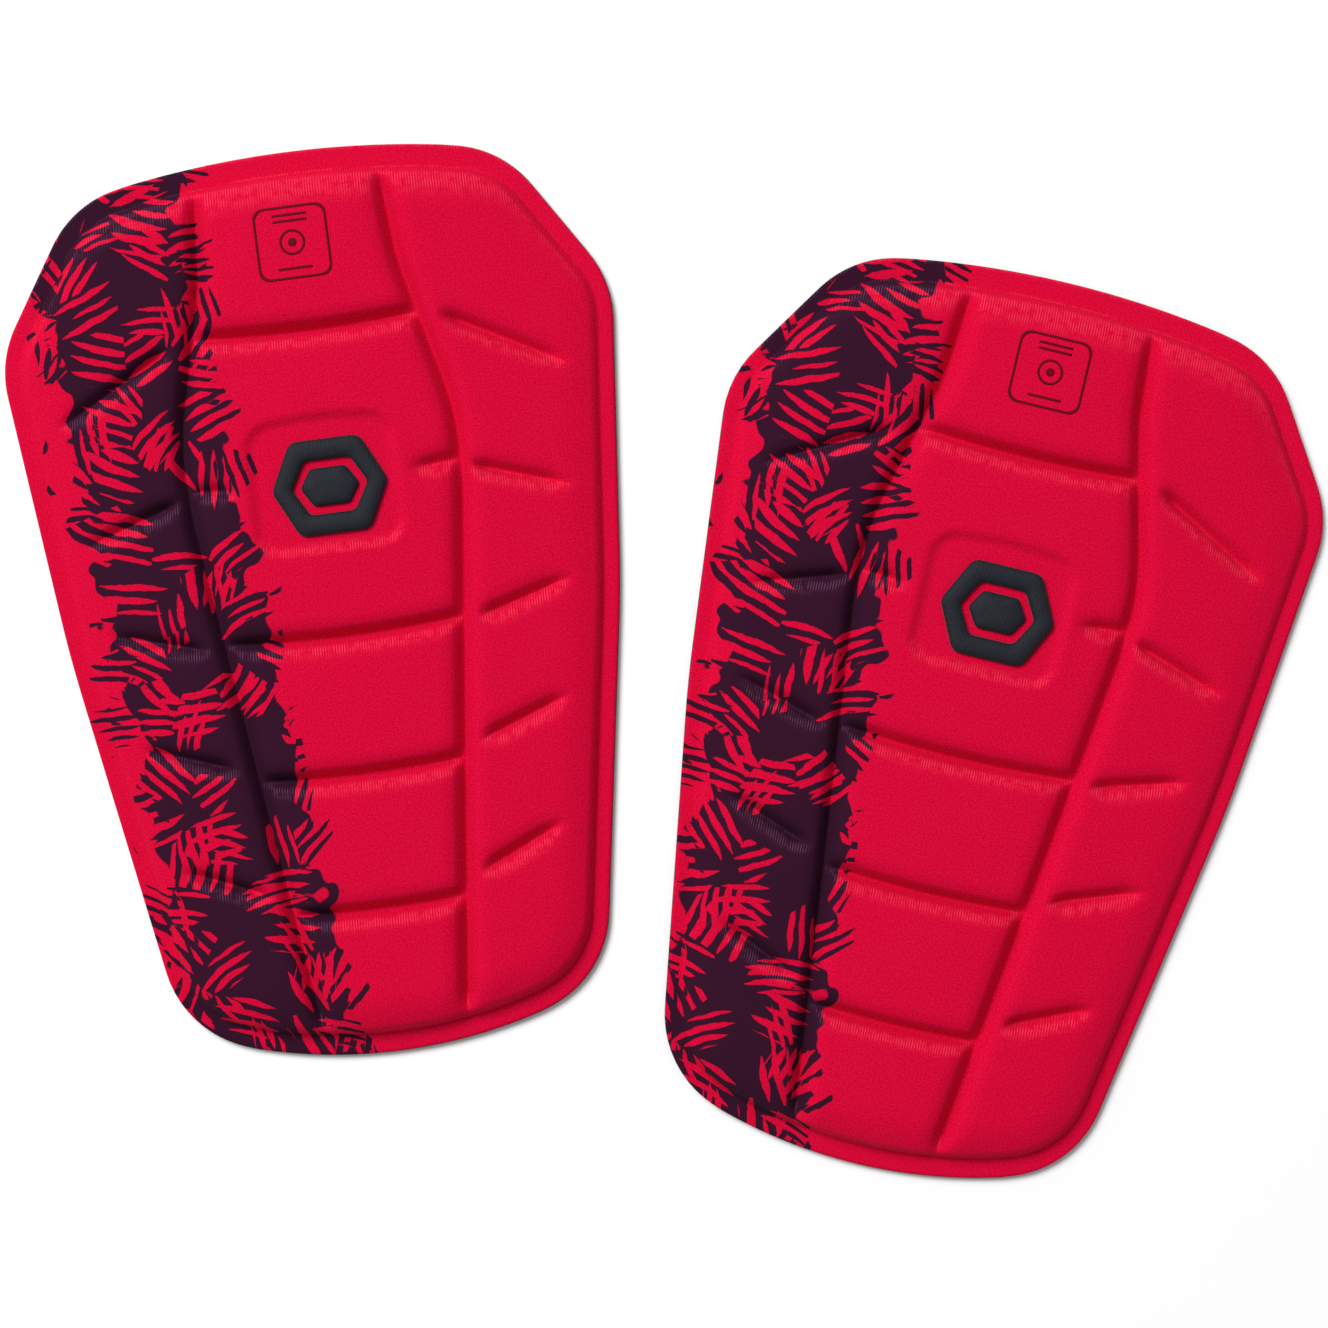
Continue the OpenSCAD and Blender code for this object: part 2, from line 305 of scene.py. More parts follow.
def height(points, depth=GROOVE_DEPTH):
    """Height of the face fabric's top surface at points with x >= 0.

    The fabric bridges the grooves, so that it only goes down to a share of their depth.
    """
    x = points[:, 0]
    edge, foam, _ = from_edge(points)
    long_off, _, _ = nearest(points, GROOVE)
    groove_x = np.interp(points[:, 1], GROOVE[::-1, 1], GROOVE[::-1, 0])
    middle = x < groove_x
    open_end = LONG_LEFT + (1 - LONG_LEFT) * smooth((foam + 0.5) / LONG_FADE)
    share = 1 - (1 - groove_share(long_off, *LONG_GROOVE)) * open_end
    for k, (y, inner, outer) in enumerate(ROWS):
        off, _, _ = nearest(points, cross_line(y))
        cross = groove_share(off, *CROSS_GROOVE)
        if k == NOTCH_ROW:
            cross = 1 - (1 - cross) * smooth((x - NOTCH_FROM) / NOTCH_FADE) * NOTCH_SHARE
        share = share * np.where(middle, cross, 1)
        line = side_line(y, inner, outer)
        off, along, _ = nearest(points, line)
        along = along * lengths(line)[-1]
        first = np.linalg.norm(line[0] - inner) - CUT_PAST
        last = np.linalg.norm(line[0] - outer) + CUT_PAST
        cut_depth = CUT_SHARE * smooth((along - first) / CUT_FADE_IN) * smooth((last - along) / CUT_FADE_OUT)
        cut = 1 - (1 - groove_share(off, *SIDE_CUT)) * cut_depth
        share = share * np.where(middle, 1, cut)
    share = 1 - (1 - share) * depth
    shoulder = 0.5 * rise(foam / STEEP_W, 2.0) + 0.5 * rise(foam / SOFT_W, 2.2)
    top = CROWN_H - x * x / (2 * CROWN_R) - badge_dip(points)
    rim = BASE - RIM_DROP * (1 - rise(edge / RIM_ROUND, 2))
    return rim + (top - BASE) * share * np.where(foam > 0, shoulder, 0)


def badge_dip(points):
    """The shallow hollow that the badge sits in."""
    arch = DIP_ARCH * (1 - (points[:, 0] / DIP_ARCH_REACH) ** 2)
    half_h = np.where(points[:, 1] > BADGE_AT[1], DIP_HALF_H + arch, DIP_HALF_H)
    half = np.stack([np.full(len(points), DIP_HALF_W), half_h], axis=1)
    q = np.abs(points - DIP_AT) - (half - DIP_CORNER_R)
    off = np.linalg.norm(np.maximum(q, 0), axis=1) + np.minimum(q.max(axis=1), 0) - DIP_CORNER_R
    return DIP_DEPTH * smooth(-off / DIP_EDGE + 0.5)


# ---- Grids that follow the grooves ----

# About how far it is across the middle panel's half and across a side pad, and the lengths beside a groove
# and beside the outline that get close points
MIDDLE_SPAN, SIDE_SPAN = 27, 40
BY_GROOVE, BY_EDGE = 4.2, 10.5
BY_CROSS, BY_END = 4, 9


def graded(length, fine_start, fine_end, fine=0.36, coarse=0.95):
    """Shares from 0 to 1, closer together over the given lengths at either end."""
    middle = max(length - fine_start - fine_end, 0)
    start_steps, end_steps = (max(1, round(n / fine)) + 1 for n in (fine_start, fine_end))
    marks = [np.linspace(0, fine_start, start_steps)[:-1] if fine_start else [],
             np.linspace(fine_start, fine_start + middle, max(2, round(middle / coarse)) + 1),
             np.linspace(length - fine_end, length, end_steps)[1:] if fine_end else []]
    return np.concatenate(marks) / length


def coons(low, high, left, right, us, ss):
    """Points of a four-sided patch, rows from low to high, columns from left to right."""
    l, r, b, t = at(left, ss)[:, None], at(right, ss)[:, None], at(low, us)[None], at(high, us)[None]
    u, s = us[None, :, None], ss[:, None, None]
    return ((1 - s) * b + s * t
            + (1 - u) * (l - (1 - s) * l[:1] - s * l[-1:])
            + u * (r - (1 - s) * r[:1] - s * r[-1:]))


def right_half_grid():
    """Rows by columns of points over a guard's right half, from the bottom up and from the middle out."""
    corner_top = nearest(np.array([SHOULDER], float), OUTLINE)[1][0]
    corner_bottom = nearest(np.array([ANKLE], float), OUTLINE)[1][0]
    total = lengths(OUTLINE)[-1]
    first = lengths(OUTLINE[:CROWN_POINTS])[-1] / total
    last = 1 - lengths(OUTLINE[-CROWN_POINTS:])[-1] / total
    cut_top = OUTLINE_TOP * first
    cut_bottom = last + OUTLINE_BOTTOM * (1 - last)
    rows = [dict(mid=cross_line(y), side=side_line(y, a, b)) for y, a, b in ROWS[::-1]]
    low = dict(mid=part(OUTLINE, 1, cut_bottom), side=part(OUTLINE, cut_bottom, corner_bottom))
    high = dict(mid=part(OUTLINE, 0, cut_top), side=part(OUTLINE, cut_top, corner_top))
    rows = [low, *rows, high]
    mid_us, side_us = graded(MIDDLE_SPAN, 0, BY_GROOVE), graded(SIDE_SPAN, BY_GROOVE, BY_EDGE)
    strips = []
    for k in range(len(rows) - 1):
        a, b = rows[k], rows[k + 1]
        ga, gb = (nearest(r["mid"][-1:], GROOVE)[1][0] for r in (a, b))
        ea, eb = (nearest(r["side"][-1:], OUTLINE)[1][0] for r in (a, b))
        groove, edge = part(GROOVE, ga, gb), part(OUTLINE, ea, eb)
        spine = np.array([a["mid"][0], b["mid"][0]])
        length = lengths(groove)[-1]
        ss = graded(length, BY_END if k == 0 else BY_CROSS, BY_END if k == len(rows) - 2 else BY_CROSS)
        strip = np.concatenate([
            coons(a["mid"], b["mid"], spine, groove, mid_us, ss),
            coons(a["side"], b["side"], groove, edge, side_us, ss)[:, 1:]], axis=1)
        strips.append(strip if k == 0 else strip[1:])
    return np.concatenate(strips)


GRID = right_half_grid()
GRID_SHAPE = GRID.shape[:2]


# ---- Meshes ----

class Guard:
    """One guard's place: its own millimetres to the row frame's metres."""

    def __init__(self, name):
        self.name = name
        self.origin = np.array(MOUNTS[name + "_back"]["pos_m"], float)
        axis = {s: np.array(JOINTS[f"{name}_{s}_wing_fold"]["axis"], float) for s in HALVES}
        self.up = unit(axis["right"] - axis["left"])
        self.across = np.array([self.up[1], -self.up[0], 0])

    def world(self, points):
        p = np.asarray(points, float) * MM
        return self.origin + p[:, :1] * self.across + p[:, 1:2] * self.up + p[:, 2:] * [0, 0, 1]


def flat_map(mesh, name, points, shift=(0, 0)):
    """Keep each corner's flat place on the guard, in millimetres, as a UV map."""
    index = np.zeros(len(mesh.loops), int)
    mesh.loops.foreach_get("vertex_index", index)
    flat = (np.asarray(points)[index][:, :2] - shift) / UV_SPAN + 0.5
    mesh.uv_layers.new(name=name).data.foreach_set("uv", flat.ravel())


def make(guard, name, points, faces, material):
    """A smooth-shaded piece, with its flat place on the guard kept as a UV map."""
    mesh = bpy.data.meshes.new(f"{guard.name}_{name}")
    mesh.from_pydata(guard.world(points).tolist(), [], [list(map(int, f)) for f in faces])
    mesh.materials.append(material)
    mesh.polygons.foreach_set("use_smooth", np.ones(len(mesh.polygons), bool))
    flat_map(mesh, "flat", points)
    mesh.update()
    obj = bpy.data.objects.new(mesh.name, mesh)
    bpy.context.scene.collection.objects.link(obj)
    return obj


def grid_faces(rows, columns, flip=False):
    i = np.arange(rows * columns).reshape(rows, columns)
    quads = np.stack([i[:-1, :-1], i[:-1, 1:], i[1:, 1:], i[1:, :-1]], axis=-1).reshape(-1, 4)
    return quads[:, ::-1] if flip else quads


def slab_faces(rows, columns, flip=False):
    """Faces of a closed slab: a top grid, then a bottom grid of the same size, and the sides between."""
    top = grid_faces(rows, columns, flip)
    count = rows * columns
    i = np.arange(count).reshape(rows, columns)
    loop = np.concatenate([i[0, :-1], i[:-1, -1], i[-1, :0:-1], i[:0:-1, 0]])
    after = np.roll(loop, -1)
    sides = np.stack([loop, loop + count, after + count, after], axis=1)
    return np.concatenate([top, top[:, ::-1] + count, sides[:, ::-1] if flip else sides])


def bend(obj):
    """Bakes the piece's place into its mesh."""
    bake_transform(obj)


def mirrored(points, side):
    return points * [side, 1, 1][:points.shape[1]]


# ---- Materials ----

class Shader:
    """Short calls for building a node material."""

    def __init__(self, name, **sockets):
        self.material = bpy.data.materials.new(name)
        self.material.use_nodes = True
        self.tree = self.material.node_tree
        self.bsdf = self.tree.nodes["Principled BSDF"]
        for key, value in sockets.items():
            self.bsdf.inputs[key.replace("_", " ")].default_value = value

    def node(self, kind, *inputs, out=0, **props):
        n = self.tree.nodes.new("ShaderNode" + kind)
        for key, value in props.items():
            setattr(n, key, value)
        for k, value in enumerate(inputs):
            if value is None:
                continue
            if isinstance(value, bpy.types.NodeSocket):
                self.tree.links.new(value, n.inputs[k])
            else:
                n.inputs[k].default_value = value
        return n.outputs[out]

    def math(self, op, *inputs):
        return self.node("Math", *inputs, operation=op)

    def link(self, value, socket):
        self.tree.links.new(value, self.bsdf.inputs[socket])

    def millimetres(self, uv_map="flat"):
        """The flat place on the guard, in millimetres."""
        uv = self.node("UVMap", uv_map=uv_map)
        half = UV_SPAN / 2
        return self.node("VectorMath", uv, (UV_SPAN, UV_SPAN, 0), (-half, -half, 0), operation="MULTIPLY_ADD")

    def ramp(self, value, low, high, to_low=0.0, to_high=1.0):
        return self.node("MapRange", value, low, high, to_low, to_high, interpolation_type="SMOOTHSTEP")

    def mix(self, share, a, b):
        n = self.tree.nodes.new("ShaderNodeMix")
        n.data_type = "RGBA"
        for socket, value in ((n.inputs["Factor"], share), (n.inputs["A"], a), (n.inputs["B"], b)):
            if isinstance(value, bpy.types.NodeSocket):
                self.tree.links.new(value, socket)
            else:
                socket.default_value = value
        return n.outputs["Result"]

    def noise(self, vector, scale, detail=2.0, rough=0.5):
        return self.node("TexNoise", vector, None, scale, detail, rough, out=0)


def linear(r, g, b):
    """An sRGB colour, 0 to 255, as linear RGBA."""
    shares = (c / 255 for c in (r, g, b))
    return tuple(((c + 0.055) / 1.055) ** 2.4 if c > 0.04045 else c / 12.92 for c in shares) + (1.0,)


# The face fabric's knit: its columns and rows, and the pitch of the ribs along which a highlight is painted
# where the fabric faces the light
WALE, COURSE, RIB = 0.56, 0.44, 0.62


def knit(s, place, wale=WALE, course=COURSE):
    """Height of a plain knit: columns of slanted loops."""
    x, y, _ = (s.node("SeparateXYZ", place, out=k) for k in range(3))
    column = s.math("PINGPONG", s.math("DIVIDE", x, wale), 0.5)
    ridge = s.math("SINE", s.math("MULTIPLY", column, math.pi))
    loops = s.math("ADD", s.math("DIVIDE", y, course), s.math("MULTIPLY", column, 1.3))
    beat = s.math("ABSOLUTE", s.math("SINE", s.math("MULTIPLY", loops, math.pi)))
    return s.math("MULTIPLY", ridge, s.math("MULTIPLY_ADD", beat, 0.55, 0.45))


def bumped(s, height_value, strength, distance):
    normal = s.node("Bump", strength, distance * MM, None, height_value)
    s.link(normal, "Normal")
    return normal


# A stroke's bow for each millimetre squared, its wobble, and how far it may slide along its lane
BOW, WOBBLE, SLIDE = 0.02, 0.8, 2.5
# A stroke's half width as a share of half the pitch, how much that varies, and how blurred its edge is
STROKE_W, STROKE_VARIES, STROKE_BLUR = 0.34, 0.34, 0.06
# How irregularly the groups lie, and the share of strokes that are left out
GROUP_SCATTER, MISSING = 0.85, 0.1


def strokes(s, place, cell, pitch, shift):
    """Groups of parallel brush strokes, each group at its own angle.

    Returns the strokes' mask, the mask of the lanes between them, how far inside the band each group lies
    and a random number for each group.
    """
    away = (shift, shift * 0.7, 0)
    moved = s.node("VectorMath", place, away, operation="ADD")
    pick = s.tree.nodes.new("ShaderNodeTexVoronoi")
    pick.voronoi_dimensions = "2D"
    pick.inputs["Scale"].default_value = 1.0
    pick.inputs["Randomness"].default_value = GROUP_SCATTER
    scaled = s.node("VectorMath", moved, (1 / cell, 1 / cell, 0), operation="MULTIPLY")
    s.tree.links.new(scaled, pick.inputs["Vector"])
    middle = s.node("VectorMath", pick.outputs["Position"], (cell, cell, 0), operation="MULTIPLY")
    dice = [s.node("SeparateColor", pick.outputs["Color"], out=k) for k in range(3)]
    rel = s.node("VectorMath", moved, middle, operation="SUBTRACT")
    turned = s.node("VectorRotate", rel, None, (0, 0, 1), s.math("MULTIPLY", dice[0], math.pi),
                    rotation_type="AXIS_ANGLE")
    across, along = (s.node("SeparateXYZ", turned, out=k) for k in (0, 1))
    bow = s.math("MULTIPLY_ADD", dice[1], 2 * BOW, -BOW)
    curve = s.math("MULTIPLY", s.math("MULTIPLY", along, along), bow)
    wobble = s.math("MULTIPLY_ADD", s.noise(rel, 0.12, 1.0), 2 * WOBBLE, -WOBBLE)
    bowed = s.math("ADD", s.math("ADD", across, curve), wobble)
    lane = s.math("ADD", s.math("DIVIDE", bowed, s.math("MULTIPLY_ADD", dice[1], 0.9, pitch - 0.45)), dice[1])
    masks = []
    for half in (0.0, 0.5):
        track = s.math("ADD", lane, half)
        number = s.math("FLOOR", s.math("ADD", track, 0.5))
        off = s.math("MULTIPLY", s.math("ABSOLUTE", s.math("SUBTRACT", track, number)), 2.0)
        seed = s.math("ADD", s.math("MULTIPLY_ADD", dice[2], 91.0, number), half * 11)
        luck = s.node("TexWhiteNoise", None, seed, noise_dimensions="1D")
        luck2 = s.node("TexWhiteNoise", None, s.math("ADD", seed, 37.3), noise_dimensions="1D")
        reach = s.math("MULTIPLY_ADD", luck2, 4.0, cell * 0.34)
        slid = s.math("ABSOLUTE", s.math("ADD", along, s.math("MULTIPLY_ADD", luck, 2 * SLIDE, -SLIDE)))
        taper = s.math("SUBTRACT", 1.0, s.math("POWER", s.math("DIVIDE", slid, reach), 2.6))
        wide, long = s.math("MULTIPLY", across, 1.5), s.math("MULTIPLY", along, 0.45)
        brush = s.noise(s.node("CombineXYZ", wide, long, seed), 1.0, 4.0, 0.6)
        width = s.math("MULTIPLY", s.math("MULTIPLY_ADD", luck, STROKE_VARIES, STROKE_W), taper)
        width = s.math("MULTIPLY_ADD", s.math("SUBTRACT", brush, 0.5), 0.5, width)
        spread = s.math("MULTIPLY_ADD", dice[1], 3.4, cell * 0.3)
        kept = s.math("MULTIPLY", s.math("GREATER_THAN", luck2, MISSING),
                      s.math("LESS_THAN", s.math("ABSOLUTE", across), spread))
        inside = s.ramp(s.math("SUBTRACT", width, off), -STROKE_BLUR, STROKE_BLUR)
        masks.append(s.math("MULTIPLY", inside, kept))
    home = s.node("VectorMath", middle, away, operation="SUBTRACT")
    return *masks, depth_in_band(s, home), dice[2]


def depth_in_band(s, spot):
    """How far inside the printed band a place lies, in millimetres; negative outside it."""
    x, y = (s.node("SeparateXYZ", spot, out=k) for k in (0, 1))
    off = s.math("ADD", x, s.math("MULTIPLY_ADD", y, BAND_LEAN, BAND_AT))
    return s.math("SUBTRACT", BAND_HALF, s.math("ABSOLUTE", off))


# Two families of stroke groups: the size of a group, the distance between its strokes, and a shift that
# sets the families apart
BROAD, NARROW = (13.5, 3.0, 0.0), (10.5, 2.5, 217.0)
# How far the band's edge strays, how far the strokes comb it, and the shares of the groups that are swept out
TORN, COMBED = 10.0, 3.2
BROAD_OVER, NARROW_UNDER = 0.1, 0.36
# Loose strokes are found from this far outside the band, and more often inside it
LOOSE_FROM, LOOSE_TO, LOOSE_SHARE = -11.0, 2.0, 0.85


def ink(s, place):
    """The print: a dark band with a torn edge, red strokes swept out of it and dark ones beyond it."""
    torn = s.math("MULTIPLY_ADD", s.noise(place, 0.13, 1.0, 0.5), 2 * TORN, -TORN)
    depth = s.math("ADD", depth_in_band(s, place), torn)
    swept, between, home, dice = strokes(s, place, *BROAD)
    swept = s.math("MULTIPLY", swept, s.math("GREATER_THAN", dice, BROAD_OVER))
    swept2, loose, home2, dice2 = strokes(s, place, *NARROW)
    swept2 = s.math("MULTIPLY", swept2, s.math("LESS_THAN", dice2, NARROW_UNDER))
    swept = s.math("MAXIMUM", swept, swept2)
    comb = s.math("MULTIPLY_ADD", s.math("SUBTRACT", between, swept), COMBED, depth)
    field = s.ramp(comb, -0.3, 0.3)
    chance = s.ramp(home2, LOOSE_FROM, LOOSE_TO, 0.0, LOOSE_SHARE)
    beyond = s.math("MULTIPLY", loose, s.math("LESS_THAN", dice2, chance))
    beyond = s.math("MULTIPLY", beyond, s.math("SUBTRACT", 1.0, field))
    return s.math("MULTIPLY_ADD", field, s.math("SUBTRACT", 1.0, swept), beyond)


def face_material():
    s = Shader("face_knit", Roughness=0.8, Sheen_Weight=0.01, Sheen_Roughness=0.5, Specular_IOR_Level=0.03)
    place = s.millimetres()
    loops = knit(s, place)
    mottle = s.noise(place, 0.12, 3.0)
    grain = s.noise(place, 2.3, 3.0, 0.75)
    red = s.mix(mottle, linear(196, 0, 44), linear(204, 0, 48))
    red = s.mix(s.ramp(grain, 0.35, 0.68, 0.0, 0.8), red, linear(236, 20, 70))
    red = s.mix(s.math("MULTIPLY_ADD", loops, -0.35, 0.35), red, linear(176, 0, 38))
    thread = s.mix(s.math("MULTIPLY_ADD", loops, -0.5, 0.5), linear(56, 20, 42), linear(30, 7, 26))
    printed = ink(s, s.millimetres("print"))
    x = s.node("SeparateXYZ", place, out=0)
    rib = s.ramp(s.math("PINGPONG", s.math("DIVIDE", x, RIB), 0.5), 0.22, 0.42)
    # Painted highlight: lighter, warmer ribs where the fabric faces the light, in patches, on the red and on
    # the printed thread
    painted_highlight = s.tree.nodes.new("ShaderNodeAttribute")
    painted_highlight.attribute_name = "painted_highlight"
    patchy = s.ramp(s.noise(place, 0.5, 2.0), 0.3, 0.6)
    glint = s.math("MULTIPLY", rib, s.math("MULTIPLY", painted_highlight.outputs["Fac"], patchy))
    red = s.mix(s.math("MULTIPLY", glint, 0.5), red, linear(248, 76, 96))
    thread = s.mix(s.math("MULTIPLY", glint, 0.4), thread, linear(130, 84, 120))
    s.link(s.mix(printed, red, thread), "Base Color")
    bumped(s, loops, 0.3, 0.1)
    return s.material


def liner_material():
    s = Shader("liner_brushed_knit", Roughness=0.85, Sheen_Weight=0.3, Sheen_Roughness=0.5,
               Specular_IOR_Level=0.25)
    place = s.millimetres()
    loops = knit(s, place, 0.8, 0.7)
    fuzz = s.noise(place, 2.2, 4.0, 0.65)
    colour = s.mix(fuzz, linear(36, 30, 40), linear(62, 54, 66))
    s.link(s.mix(s.math("MULTIPLY", loops, 0.4), linear(24, 19, 28), colour), "Base Color")
    bumped(s, s.math("MULTIPLY_ADD", fuzz, 0.6, loops), 0.5, 0.15)
    return s.material


def foam_material():
    s = Shader("moulded_foam", Roughness=0.8, Specular_IOR_Level=0.3)
    place = s.node("VectorMath", s.node("TexCoord", out=3), (1 / MM,) * 3, operation="MULTIPLY")
    pores = s.node("TexVoronoi", place, None, 1.6)
    skin = s.noise(place, 0.5, 3.0)
    s.link(s.mix(skin, linear(70, 70, 74), linear(96, 96, 100)), "Base Color")
    bumped(s, pores, 0.3, 0.15)
    return s.material


def badge_material():
    s = Shader("badge_knit", Roughness=0.7, Sheen_Weight=0.12, Sheen_Roughness=0.4, Specular_IOR_Level=0.3)
    place = s.millimetres()
    loops = knit(s, place, 0.62, 0.5)
    wear = s.noise(place, 0.4, 3.0)
    dark = s.mix(wear, linear(9, 12, 23), linear(18, 22, 36))
    fleck = s.ramp(s.noise(place, 3.4, 2.0, 0.7), 0.52, 0.72)
    dark = s.mix(s.math("MULTIPLY", fleck, 0.3), dark, linear(84, 88, 100))
    s.link(s.mix(s.math("MULTIPLY_ADD", loops, -0.4, 0.4), dark, linear(8, 9, 14)), "Base Color")
    bumped(s, loops, 0.5, 0.12)
    return s.material


def label_material():
    s = Shader("label_film", Roughness=0.7, Specular_IOR_Level=0.1)
    place = s.millimetres()
    grain = s.noise(place, 3.0, 3.0)
    s.link(s.mix(grain, linear(88, 0, 18), linear(108, 0, 24)), "Base Color")
    bumped(s, knit(s, place), 0.2, 0.08)
    return s.material


FACE, LINER, FOAM, BADGE, LABEL = (
    face_material(), liner_material(), foam_material(), badge_material(), label_material())


# ---- Fabrics ----

# Touching pieces are kept this far apart
CLEAR = 0.02


def slopes(grid, z):
    """How steeply a surface over a grid falls, sideways and towards the knee end."""
    (xi, xj), (yi, yj), (zi, zj) = (np.gradient(v) for v in (grid[..., 0], grid[..., 1], z))
    det = xi * yj - xj * yi
    det = np.where(abs(det) < 1e-9, 1e-9, det)
    return ((zj * yi - zi * yj) / det).ravel(), ((xj * zi - xi * zj) / det).ravel()


def thinned(grid, rows=2, columns=2):
    """Some of a grid's rows and columns, with its last row and column kept."""
    steps = zip(grid.shape, (rows, columns))
    i, j = (np.unique(np.append(np.arange(0, n, step), n - 1)) for n, step in steps)
    return grid[i][:, j], i, j


CLOTH_FRAMES = 20
CLOTH_CAP = 0.7
# The fabric is held where the pad has risen by less than this share, and is free this much above it
HELD_BELOW, FREED_OVER = 0.45, 0.5


def relaxed():
    """How far the stretched fabric swells over its foam at each point of the grid, by one cloth run."""
    coarse, rows, columns = thinned(GRID, 4, 3)
    flat = coarse.reshape(-1, 2)
    z = height(flat)
    crown = CROWN_H - flat[:, 0] ** 2 / (2 * CROWN_R)
    risen = (height(flat, 1) - BASE) / (crown - BASE)
    held = 1 - smooth((risen - HELD_BELOW) / FREED_OVER)
    shape = coarse.shape[:2]
    right = np.column_stack([flat, z]).reshape(*shape, 3)
    sheet = np.concatenate([(right * [-1, 1, 1])[:, :0:-1], right], axis=1)
    held = held.reshape(shape)
    held = np.concatenate([held[:, :0:-1], held], axis=1).ravel()
    mesh = bpy.data.meshes.new("stretching")
    mesh.from_pydata((sheet.reshape(-1, 3) * MM).tolist(), [], grid_faces(*sheet.shape[:2]).tolist())
    obj = bpy.data.objects.new("stretching", mesh)
    bpy.context.scene.collection.objects.link(obj)
    group = obj.vertex_groups.new(name="held")
    for k, weight in enumerate(held):
        group.add([k], float(weight), "REPLACE")
    cloth = obj.modifiers.new("cloth", "CLOTH")
    settings = cloth.settings
    settings.quality = 6
    settings.mass = 0.2
    settings.tension_stiffness = settings.compression_stiffness = 12
    settings.bending_stiffness = 0.4
    settings.use_pressure = True
    settings.uniform_pressure_force = 4
    settings.effector_weights.gravity = 0
    settings.vertex_group_mass = "held"
    cloth.collision_settings.use_collision = False
    cloth.point_cache.frame_start, cloth.point_cache.frame_end = 1, CLOTH_FRAMES
    scene = bpy.context.scene
    for n in range(1, CLOTH_FRAMES + 1):
        scene.frame_set(n)
    after = obj.evaluated_get(bpy.context.evaluated_depsgraph_get()).to_mesh()
    moved = np.zeros(len(after.vertices) * 3)
    after.vertices.foreach_get("co", moved)
    scene.frame_set(1)
    bpy.data.objects.remove(obj)
    lift = (moved.reshape(-1, 3)[:, 2] / MM - sheet.reshape(-1, 3)[:, 2]).reshape(sheet.shape[:2])
    middle = shape[1] - 1
    lift = (lift[:, middle:] + lift[:, middle::-1]) / 2
    lift = np.clip(lift, 0, CLOTH_CAP)
    for _ in range(2):
        wide = np.pad(lift, 1, mode="edge")
        lift = (wide[:-2, 1:-1] + wide[2:, 1:-1] + wide[1:-1, :-2] + wide[1:-1, 2:] + 4 * lift) / 8
    across = np.stack([np.interp(np.arange(GRID_SHAPE[1]), columns, row) for row in lift])
    return np.stack([np.interp(np.arange(GRID_SHAPE[0]), rows, column) for column in across.T], axis=1)


LIFT = relaxed()


def lift_near(points):
    """The fabric's lift at the grid point nearest to each point, for points about the badge and the label."""
    around = (GRID[..., 0] < LABEL_W) & (GRID[..., 1] > BADGE_AT[1] - BADGE_SIZE[0])
    grid, lift = GRID[around], LIFT[around]
    return lift[[np.argmin(((grid - [abs(x), y]) ** 2).sum(axis=1)) for x, y in points]]


# The face fabric's edge is drawn in by this much over this width, so that the liner shows along it
DRAWN_IN, DRAWN_W = 0.12, 2.0


def face_solid():
    """Top then bottom points of the right half of the face fabric, and the share of painted highlight on its
    ribs where it faces the light.
    """
    points = GRID.reshape(-1, 2)
    edge, _, out = from_edge(points)
    drawn = points - out * (DRAWN_IN * np.clip(1 - edge / DRAWN_W, 0, 1))[:, None]
    drawn[:, 0] = np.where(points[:, 0] < 1e-6, 0, drawn[:, 0])
    top = height(points) + LIFT.ravel()
    aside, facing = slopes(points.reshape(*GRID_SHAPE, 2), top.reshape(GRID_SHAPE))
    # Painted highlight: strongest on slopes that face the light from the knee end, fading on steep slopes and
    # on slopes that lean sideways
    painted_highlight = smooth((facing - 0.08) / 0.25) * (1 - smooth((facing - 1.0) / 0.7))
    painted_highlight = painted_highlight * (1 - smooth((abs(aside) - 0.35) / 0.5))
    low = np.maximum(top - FACE_T, LINER_T)
    return np.concatenate([np.column_stack([drawn, top]), np.column_stack([drawn, low])]), np.tile(painted_highlight, 2)


LINER_GRID = thinned(GRID)[0]
# How far the lengthwise grooves are pressed into the back, and how wide
PRESS, PRESS_W = 0.3, 2.4
# The liner's edge is rounded over below and above
LINER_LOW_ROUND, LINER_TOP_ROUND = (0.35, 0.9), (0.15, 0.6)


def liner_solid():
    points = LINER_GRID.reshape(-1, 2)
    edge, foam, _ = from_edge(points)
    press = 1 - rise(nearest(points, GROOVE)[0] / PRESS_W, 2)
    depth, width = LINER_LOW_ROUND
    low = PRESS * press * (foam > 0) + depth * (1 - rise(edge / width, 2))
    depth, width = LINER_TOP_ROUND
    high = np.full(len(points), LINER_T - CLEAR) - depth * (1 - rise(edge / width, 2))
    return np.concatenate([np.column_stack([points, high]), np.column_stack([points, low])])


def half_slab(guard, name, solid, shape, side, material):
    """One half of a fabric or a foam piece; the edge it shares with its other half stays sharp-cornered."""
    obj = make(guard, f"{name}_{side}", mirrored(solid, HALVES[side]),
               slab_faces(*shape, flip=side == "left"), material)
    mesh = obj.data
    ends = np.zeros(len(mesh.edges) * 2, int)
    mesh.edges.foreach_get("vertices", ends)
    on_cut = (np.abs(solid[ends, 0]) < 1e-6).reshape(-1, 2).all(axis=1)
    sharp = mesh.attributes.new("sharp_edge", "BOOLEAN", "EDGE")
    sharp.data.foreach_set("value", on_cut)
    bend(obj)
    return obj


